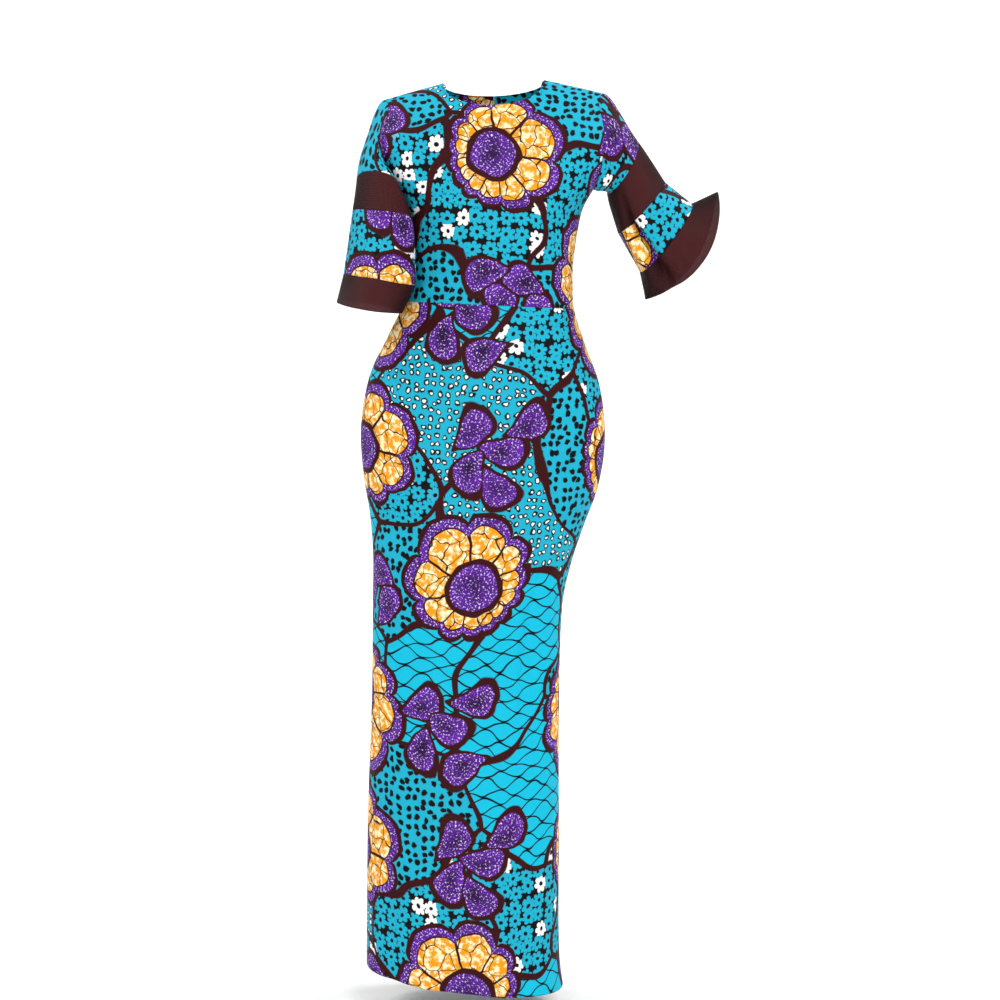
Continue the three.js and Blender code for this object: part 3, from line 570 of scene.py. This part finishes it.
# ---- Materials ----
def linear(hex_colour):
    """An sRGB hex colour as linear RGBA."""
    channels = [int(hex_colour[k:k + 2], 16) / 255 for k in (1, 3, 5)]
    return tuple(c / 12.92 if c <= 0.04045 else ((c + 0.055) / 1.055) ** 2.4 for c in channels) + (1.0,)


def new_material(name):
    material = bpy.data.materials.new(name)
    material.use_nodes = True
    material.node_tree.nodes.clear()
    return material, material.node_tree


def add(tree, kind, inputs=None, **settings):
    """Adds a node with its settings, and sets or links its inputs by name or number."""
    node = tree.nodes.new(kind)
    for key, value in settings.items():
        setattr(node, key, value)
    for key, value in (inputs or {}).items():
        socket = node.inputs[key]
        if isinstance(value, bpy.types.NodeSocket):
            tree.links.new(value, socket)
        else:
            socket.default_value = value
    return node


def tinted(tree, factor, low, high):
    """A colour between two sRGB hex values."""
    inputs = {0: factor, 6: linear(low), 7: linear(high)}
    return add(tree, "ShaderNodeMix", inputs, data_type="RGBA").outputs[2]


# The printed repeat in mm, and what lies on it. Rosettes: x, y, the way their long petals point in
# degrees, and scale. Drops: x, y, and the way the round end points.
REPEAT = (450.0, 640.0)
ROSETTES = [
    (112, 100, -62, 1.08),
    (338, 296, 128, 1.0),
    (118, 492, 24, 0.94),
]
DROPS = [
    (262, 40, -95), (300, 78, -30), (262, 104, 30), (330, 20, -150), (345, 118, 15),
    (172, 300, 165), (140, 262, 110), (194, 248, 70), (112, 312, -160),
    (312, 478, -110), (352, 452, -50), (362, 506, 0), (316, 536, 60), (400, 548, 35),
]
DISC = 36.0  # radius of a rosette's middle
RING = 45.0  # outer radius of the dark ring round it
PETALS = 11
NET_ROW = 13.0  # between the net's lines
NET_HALF_WAVE = 26.0  # along a line, from crest to trough
PATCH = 190.0  # across a patch of one ground
DROP_REACH = 35.0  # from a drop's middle to its ends


def wax_print():
    """Plain-woven cotton, wax-resist printed on both faces: turquoise grounds split by dark maroon
    curves, under gold and purple rosettes and sprays of purple drops. All sizes are in mm of flat
    cloth."""
    material, tree = new_material("wax_print_cotton")

    def number(operation, a, b=0.0, c=0.0):
        return add(tree, "ShaderNodeMath", {0: a, 1: b, 2: c}, operation=operation).outputs[0]

    def vector(operation, a, b=(0, 0, 0), c=(0, 0, 0)):
        node = add(tree, "ShaderNodeVectorMath", {0: a, 1: b, 2: c}, operation=operation)
        return node.outputs["Value"] if operation == "LENGTH" else node.outputs[0]

    def step(value, edge, soft):
        """1 where value is over edge, across a band of soft."""
        node = add(tree, "ShaderNodeMapRange", {0: value, 1: edge - soft, 2: edge + soft, 3: 0.0, 4: 1.0})
        return node.outputs[0]

    def ramp(value, low, high, at_low, at_high):
        return add(tree, "ShaderNodeMapRange", {0: value, 1: low, 2: high, 3: at_low, 4: at_high}).outputs[0]

    def blend(factor, a, b):
        return add(tree, "ShaderNodeMix", {0: factor, 6: a, 7: b}, data_type="RGBA").outputs[2]

    def noise(position, size, detail=1.0, rough=0.5):
        """Noise whose blotches are about size mm across."""
        inputs = {"Vector": position, "Scale": 1 / size, "Detail": detail, "Roughness": rough}
        return add(tree, "ShaderNodeTexNoise", inputs, noise_dimensions="2D")

    def wavered(position, size, reach):
        """The position, moved up to half of reach either way by noise."""
        offset = noise(position, size).outputs["Color"]
        shift = vector("MULTIPLY_ADD", offset, (reach, reach, 0), (-reach / 2, -reach / 2, 0))
        return vector("ADD", position, shift)

    def cells(position, size, feature="F1", randomness=1.0):
        inputs = {"Vector": position, "Scale": 1 / size, "Randomness": randomness}
        return add(tree, "ShaderNodeTexVoronoi", inputs, voronoi_dimensions="2D", feature=feature)

    maroon = linear("#35090C")
    black = linear("#0C0608")
    turquoise = linear("#1BA7C3")
    cyan = linear("#0FB5D3")
    white = linear("#F4F4F2")
    purple = linear("#6420A4")
    plum = linear("#2A0B40")
    lilac = linear("#EADFF2")
    gold = linear("#E8960F")
    cream = linear("#F8E9B8")

    uv = add(tree, "ShaderNodeUVMap", uv_map="cloth").outputs[0]
    flat = vector("MULTIPLY", uv, (1000, 1000, 0))
    drawn = wavered(flat, 34, 9)
    ragged = wavered(drawn, 7, 5)

    # Daisies 26 mm across on black, most of them turquoise, with one in eight white.
    daisy = cells(drawn, 23, randomness=0.35)
    away = vector("SUBTRACT", drawn, daisy.outputs["Position"])
    chance = add(tree, "ShaderNodeSeparateColor", {0: daisy.outputs["Color"]})
    split = add(tree, "ShaderNodeSeparateXYZ", {0: away})
    angle = number("ARCTAN2", split.outputs[1], split.outputs[0])
    angle = number("MULTIPLY_ADD", chance.outputs[2], 6.28, angle)
    lobes = number("ABSOLUTE", number("COSINE", number("MULTIPLY", angle, 3.5)))
    reach = number("MULTIPLY_ADD", number("POWER", lobes, 0.5), 6.6, 6.4)
    radius = vector("LENGTH", away)
    petal = number("MULTIPLY", step(number("SUBTRACT", reach, radius), 0.0, 0.5), step(radius, 3.2, 0.4))
    daisies = blend(petal, black, blend(step(chance.outputs[0], 0.87, 0.001), turquoise, white))

    # Pebbles: ragged black spots of 9 mm, 14 mm apart.
    spots = cells(ragged, 14, randomness=0.55).outputs["Distance"]
    pebbles = blend(step(spots, 0.33, 0.04), black, turquoise)

    # Eyes: white spots of 5 mm ringed with black, 13 mm apart.
    spots = cells(ragged, 13, randomness=0.5).outputs["Distance"]
    eyes = blend(step(spots, 0.17, 0.03), white, blend(step(spots, 0.35, 0.03), black, turquoise))

    # Net: lines 13 mm apart that wave towards one another every 26 mm, so that they close flat
    # lens-shaped meshes.
    split = add(tree, "ShaderNodeSeparateXYZ", {0: wavered(flat, 60, 26)})
    row = number("MULTIPLY", split.outputs[1], 1 / NET_ROW)
    nearest_row = number("ROUND", row)
    off = number("SUBTRACT", row, nearest_row)
    parity = number("COSINE", number("MULTIPLY", nearest_row, math.pi))
    swing = number("COSINE", number("MULTIPLY", split.outputs[0], math.pi / NET_HALF_WAVE))
    swing = number("MULTIPLY", swing, 0.43)
    swing = number("MULTIPLY", swing, parity)
    line = number("ABSOLUTE", number("SUBTRACT", off, swing))
    above = number("ABSOLUTE", number("ADD", number("SUBTRACT", off, 1.0), swing))
    below = number("ABSOLUTE", number("ADD", number("ADD", off, 1.0), swing))
    line = number("MINIMUM", line, number("MINIMUM", above, below))
    net = blend(step(line, 0.1, 0.03), black, cyan)

    # Patches of about 190 mm with bent edges take one of these grounds each, and maroon curves of 10 mm
    # part them.
    bent = wavered(flat, 150, 120)
    patch = cells(bent, PATCH, randomness=0.8).outputs["Color"]
    patch = add(tree, "ShaderNodeSeparateColor", {0: patch}).outputs[1]
    ground = blend(step(patch, 0.24, 0.001), pebbles, daisies)
    ground = blend(step(patch, 0.6, 0.001), ground, net)
    ground = blend(step(patch, 0.84, 0.001), ground, eyes)
    border = cells(bent, PATCH, feature="DISTANCE_TO_EDGE", randomness=0.8).outputs["Distance"]
    colour = blend(step(border, 0.028, 0.004), maroon, ground)

    # The nearest rosette's own coordinates: x along its longest petals, y across, in mm.
    half_repeat = [v / 2 for v in REPEAT + (1000.0,)]

    def from_nearest(x, y):
        """The way here from the nearest repeat of a point of the print."""
        return vector("WRAP", vector("SUBTRACT", drawn, (x, y, 0)), half_repeat, [-v for v in half_repeat])

    near, near_length = None, None
    for x, y, degrees, scale in ROSETTES:
        away = from_nearest(x, y)
        inputs = {"Vector": away, "Angle": -math.radians(degrees)}
        away = add(tree, "ShaderNodeVectorRotate", inputs, rotation_type="Z_AXIS").outputs[0]
        away = vector("MULTIPLY", away, (1 / scale, 1 / scale, 0))
        length = vector("LENGTH", away)
        if near is None:
            near, near_length = away, length
            continue
        closer = number("LESS_THAN", length, near_length)
        near = add(tree, "ShaderNodeMix", {0: closer, 4: near, 5: away}, data_type="VECTOR").outputs[1]
        near_length = number("MINIMUM", length, near_length)

    # Petals widen and lengthen from one side of the rosette to the other.
    split = add(tree, "ShaderNodeSeparateXYZ", {0: near})
    angle = number("ARCTAN2", split.outputs[1], split.outputs[0])
    long_side = number("COSINE", angle)
    phase = number("MULTIPLY_ADD", number("SINE", angle), -0.38, angle)
    wave = number("ABSOLUTE", number("COSINE", number("MULTIPLY", phase, PETALS / 2)))
    lobe = number("POWER", wave, 0.5)
    petal_length = number("MULTIPLY_ADD", long_side, 22.0, 38.0)
    rounding = number("MULTIPLY_ADD", lobe, 0.42, 0.58)
    tip = number("MULTIPLY_ADD", petal_length, rounding, RING)
    inside_petal = number("SUBTRACT", tip, near_length)
    hem_width = number("MULTIPLY_ADD", long_side, 3.0, 12.0)
    inside_hem = number("ADD", inside_petal, hem_width)
    inside_outline = number("ADD", inside_hem, 8.0)

    mottle = noise(flat, 10, 3.0, 0.6).outputs[0]
    gilt = blend(step(mottle, 0.53, 0.07), gold, cream)
    crackle = cells(wavered(flat, 22, 16), 27, feature="DISTANCE_TO_EDGE").outputs["Distance"]
    gilt = blend(step(crackle, 0.03, 0.012), maroon, gilt)
    fans = blend(step(number("MULTIPLY", wave, near_length), 8.0, 1.2), maroon, gilt)

    # Drops: an oval measure, 1 on its edge, of the nearest drop and of the next, so that one outlines
    # another.
    first, second = None, None
    for x, y, degrees in DROPS:
        away = from_nearest(x, y)
        inputs = {"Vector": away, "Angle": -math.radians(degrees)}
        split = add(tree, "ShaderNodeVectorRotate", inputs, rotation_type="Z_AXIS").outputs[0]
        split = add(tree, "ShaderNodeSeparateXYZ", {0: split})
        along, across = split.outputs[0], split.outputs[1]
        bow = number("MULTIPLY", number("MULTIPLY", along, along), 0.006)
        wide = number("MAXIMUM", number("MULTIPLY_ADD", along, 0.34, 21.0), 4.0)
        share = number("DIVIDE", number("SUBTRACT", across, bow), wide)
        lengthways = number("POWER", number("MULTIPLY", along, 1 / DROP_REACH), 2.0)
        inside = number("SQRT", number("MULTIPLY_ADD", share, share, lengthways))
        if first is None:
            first, second = inside, number("ADD", inside, 9.0)
            continue
        second = number("MINIMUM", number("MAXIMUM", first, inside), second)
        first = number("MINIMUM", first, inside)
    on_drop = step(number("SUBTRACT", 1.24, first), 0.0, 0.03)

    # Purple, darker inwards, with white specks that crowd towards the edge.
    in_disc = number("MULTIPLY", near_length, 1 / DISC)
    edge = number("MINIMUM", in_disc, 0.8)
    edge = add(tree, "ShaderNodeMix", {0: on_drop, 2: edge, 3: first}).outputs[0]
    tone = number("MULTIPLY_ADD", noise(flat, 28).outputs[0], 0.9, number("MULTIPLY_ADD", edge, 0.75, -0.42))
    speck = number("MULTIPLY_ADD", edge, 0.07, noise(flat, 3.0, 2.0, 0.6).outputs[0])
    violet = blend(tone, plum, purple)
    violet = blend(step(speck, 0.7, 0.05), violet, lilac)

    flower = blend(step(inside_petal, 1.4, 0.4), maroon, fans)
    flower = blend(step(inside_petal, -1.2, 0.4), violet, flower)
    flower = blend(step(near_length, RING, 0.5), maroon, flower)
    flower = blend(step(near_length, DISC, 0.5), violet, flower)
    flower = blend(step(inside_hem, 0.0, 0.5), maroon, flower)
    colour = blend(step(inside_outline, 0.0, 0.5), colour, flower)
    drops = blend(step(number("SUBTRACT", second, first), 0.13, 0.03), maroon, violet)
    drops = blend(step(first, 0.96, 0.03), drops, maroon)
    colour = blend(on_drop, colour, drops)

    # Threads lie 0.4 mm apart, too fine to show, so the weave is drawn at 1.2 mm. The wax leaves an
    # uneven sheen.
    weave = noise(flat, 1.2, 2.0).outputs[0]
    bump = add(tree, "ShaderNodeBump", {"Height": weave, "Strength": 0.1, "Distance": 0.0004})
    surface = add(
        tree,
        "ShaderNodeBsdfPrincipled",
        {
            "Base Color": colour,
            "Roughness": ramp(mottle, 0.3, 0.7, 0.6, 0.72),
            "Normal": bump.outputs[0],
            "Specular IOR Level": 0.12,
        },
    )
    add(tree, "ShaderNodeOutputMaterial", {"Surface": surface.outputs[0]})
    return material


def sheer_mesh():
    """Fine polyester mesh, nearly black, with painted light: browner in front, and painted shade to the
    sides and behind. Threads are drawn at 2 mm."""
    material, tree = new_material("sheer_polyester_mesh")
    uv = add(tree, "ShaderNodeUVMap", uv_map="cloth").outputs[0]
    cells = add(
        tree,
        "ShaderNodeTexVoronoi",
        {"Vector": uv, "Scale": 520.0, "Randomness": 0.15},
        voronoi_dimensions="2D",
        feature="DISTANCE_TO_EDGE",
    )
    threads = add(tree, "ShaderNodeMapRange", {0: cells.outputs[0], 1: 0.1, 2: 0.32, 3: 1.0, 4: 0.0})
    painted_front_light = add(tree, "ShaderNodeAttribute", attribute_name="painted_front_light").outputs["Fac"]
    # Painted light and shade: brown in front, nearly black to the sides and behind.
    tint = tinted(tree, painted_front_light, "#0D0607", "#43191B")
    cover = add(tree, "ShaderNodeMapRange", {0: threads.outputs[0], 1: 0.0, 2: 1.0, 3: 0.8, 4: 0.98})
    bump = add(tree, "ShaderNodeBump", {"Height": threads.outputs[0], "Strength": 0.25, "Distance": 0.0003})
    surface = add(
        tree,
        "ShaderNodeBsdfPrincipled",
        {
            "Base Color": tint,
            "Alpha": cover.outputs[0],
            "Roughness": 0.75,
            "Normal": bump.outputs[0],
            "Specular IOR Level": 0.15,
        },
    )
    add(tree, "ShaderNodeOutputMaterial", {"Surface": surface.outputs[0]})
    return material


def zip_tape():
    """Woven polyester tape, with a rib every 1.5 mm."""
    material, tree = new_material("polyester_zip_tape")
    place = add(tree, "ShaderNodeTexCoord").outputs["Object"]
    ribs = add(tree, "ShaderNodeTexWave", {"Vector": place, "Scale": 210.0}, bands_direction="Z")
    # Painted shade: each rib is darker in its trough and lighter on its crest.
    tint = tinted(tree, ribs.outputs[1], "#1B1214", "#3A2A2C")
    bump = add(tree, "ShaderNodeBump", {"Height": ribs.outputs[1], "Strength": 0.4, "Distance": 0.0002})
    surface = add(
        tree,
        "ShaderNodeBsdfPrincipled",
        {"Base Color": tint, "Roughness": 0.8, "Normal": bump.outputs[0]},
    )
    add(tree, "ShaderNodeOutputMaterial", {"Surface": surface.outputs[0]})
    return material


def antiqued_brass():
    """Die-cast zip metal, tumbled dark, brighter where fingers rub it."""
    material, tree = new_material("antiqued_brass")
    place = add(tree, "ShaderNodeTexCoord").outputs["Object"]
    rubbed = add(tree, "ShaderNodeTexNoise", {"Vector": place, "Scale": 420.0, "Detail": 4.0})
    tint = tinted(tree, rubbed.outputs[0], "#4A3A28", "#A58A5C")
    polish = add(tree, "ShaderNodeMapRange", {0: rubbed.outputs[0], 1: 0.3, 2: 0.7, 3: 0.42, 4: 0.24})
    surface = add(
        tree,
        "ShaderNodeBsdfPrincipled",
        {"Base Color": tint, "Metallic": 1.0, "Roughness": polish.outputs[0]},
    )
    add(tree, "ShaderNodeOutputMaterial", {"Surface": surface.outputs[0]})
    return material


def studio_paper():
    """Seamless white backdrop paper, matt, with the faintest grain."""
    material, tree = new_material("backdrop_paper")
    place = add(tree, "ShaderNodeTexCoord").outputs["Object"]
    grain = add(tree, "ShaderNodeTexNoise", {"Vector": place, "Scale": 90.0, "Detail": 3.0})
    tint = tinted(tree, grain.outputs[0], "#F1F1F0", "#F5F5F4")
    surface = add(tree, "ShaderNodeBsdfPrincipled", {"Base Color": tint, "Roughness": 0.95})
    add(tree, "ShaderNodeOutputMaterial", {"Surface": surface.outputs[0]})
    return material


PRINT, SHEER, TAPE, BRASS, PAPER = wax_print(), sheer_mesh(), zip_tape(), antiqued_brass(), studio_paper()


def place_print(piece, across, up):
    """Moves a piece's UV, so that each piece is cut from its own part of the printed cloth."""
    layer = piece.data.uv_layers["cloth"]
    uv = np.empty(len(layer.data) * 2, np.float32)
    layer.data.foreach_get("uv", uv)
    uv = uv.reshape(-1, 2) + np.array([across, up], np.float32) * MM
    layer.data.foreach_set("uv", uv.ravel())


def finish_cloth(piece, node, material):
    piece.data.materials.append(material)
    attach(piece, "root")
    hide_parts(node)


# ---- The panels: node, side, hand, whether skirt, the print's shift, the cut in metres and its area ----
PANELS = [
    ("bodice_front", FRONT, 0, False, (118, 262), (0.47, 0.40), 0.142),
    ("bodice_back_right", BACK, -1, False, (560, 120), (0.235, 0.40), 0.068),
    ("bodice_back_left", BACK, 1, False, (840, 330), (0.235, 0.40), 0.068),
    ("skirt_front", FRONT, 0, True, (330, 90), (0.52, 1.08), 0.465),
    ("skirt_back_right", BACK, -1, True, (610, 410), (0.27, 1.08), 0.235),
    ("skirt_back_left", BACK, 1, True, (905, 150), (0.27, 1.08), 0.235),
]
for node, side, hand, is_skirt, shift, flat, area in PANELS:
    places = skirt_places(side, hand) if is_skirt else bodice_places(side, hand)
    panel = body_piece(node + "_cloth", places, side, flip=side == BACK)
    place_print(panel, *shift)
    finish_cloth(panel, node, PRINT)

SLEEVE_PRINT = {
    ("right", "cap"): (300, 300),
    ("right", "printed_band"): (40, 470),
    ("left", "cap"): (150, 560),
    ("left", "printed_band"): (150, 100),
}
for hand_name in SLEEVES:
    for piece, first, last, sheer, rows, cut in SLEEVE_PIECES:
        tube = sleeve_piece(hand_name, piece, first, last, sheer, rows)
        place_print(tube, *SLEEVE_PRINT.get((hand_name, piece), (0, 0)))
        flat = tuple(v * MM for v in cut)
        node = f"sleeve_{hand_name}_{piece}"
        slot, material = ("sheer_mesh", SHEER) if sheer else ("wax_print", PRINT)
        finish_cloth(tube, node, material)

for node, material in (
    ("zip_tape_right", TAPE),
    ("zip_tape_left", TAPE),
    ("zip_slider", BRASS),
    ("zip_pull", BRASS),
):
    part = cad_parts[node]
    part.data.materials.clear()
    part.data.materials.append(material)


# ---- Stage, lights and camera ----
def backdrop():
    """A floor that bends up into a wall: a profile of floor, quarter circle and wall, drawn out sideways."""
    floor_height, bend, reach = -1.46, 1.2, 3.2
    front_edge, wall_top, half_width = -9, 7, 8
    along = np.linspace(0, 1, 60)
    floor = np.stack([np.linspace(front_edge, reach, 20), np.full(20, floor_height)], -1)
    back = reach + bend * np.sin(along * QUARTER)
    up = floor_height + bend * (1 - np.cos(along * QUARTER))
    curve = np.stack([back, up], -1)
    wall = np.stack([np.full(20, reach + bend), np.linspace(floor_height + bend, wall_top, 20)], -1)
    profile = np.concatenate([floor, curve[1:], wall[1:]])
    sides = np.linspace(-half_width, half_width, 9)
    points = np.stack(np.broadcast_arrays(sides[None, :], profile[:, :1], profile[:, 1:]), -1)
    uv = np.zeros(points.shape[:2] + (2,))
    sheet = cloth_mesh("backdrop", points / MM, uv)
    sheet.data.materials.append(PAPER)


def area_light(name, place, target, size, power):
    data = bpy.data.lights.new(name, "AREA")
    data.shape = "RECTANGLE"
    data.size, data.size_y = size
    data.energy = power
    light = bpy.data.objects.new(name, data)
    light.location = place
    light.rotation_euler = (Vector(target) - Vector(place)).to_track_quat("-Z", "Y").to_euler()
    bpy.context.scene.collection.objects.link(light)


backdrop()
area_light("key", (1.2, -3.6, 1.5), (0, 0, -0.7), (1.4, 2.2), 100)
area_light("fill", (-1.3, -3.9, 0.1), (0, 0, -0.8), (1.4, 2.4), 56)
area_light("wall_left", (-2.6, 0.6, 2.2), (-1.0, 4.4, -0.3), (2.0, 2.0), 150)
area_light("wall_right", (2.6, 0.6, 2.2), (1.0, 4.4, -0.3), (2.0, 2.0), 150)

world = bpy.data.worlds.new("studio")
world.use_nodes = True
world.node_tree.nodes["Background"].inputs[0].default_value = (1, 1, 1, 1)
world.node_tree.nodes["Background"].inputs[1].default_value = 0.26
bpy.context.scene.world = world
bpy.context.scene.view_settings.view_transform = "Standard"

camera_data = bpy.data.cameras.new("camera")
camera_data.lens = 75.7
camera = bpy.data.objects.new("camera", camera_data)
camera.location = (0.0097, -3.3, -0.33)
camera.rotation_euler = (math.radians(90 - 5.4), 0, 0)
bpy.context.scene.collection.objects.link(camera)
bpy.context.scene.camera = camera
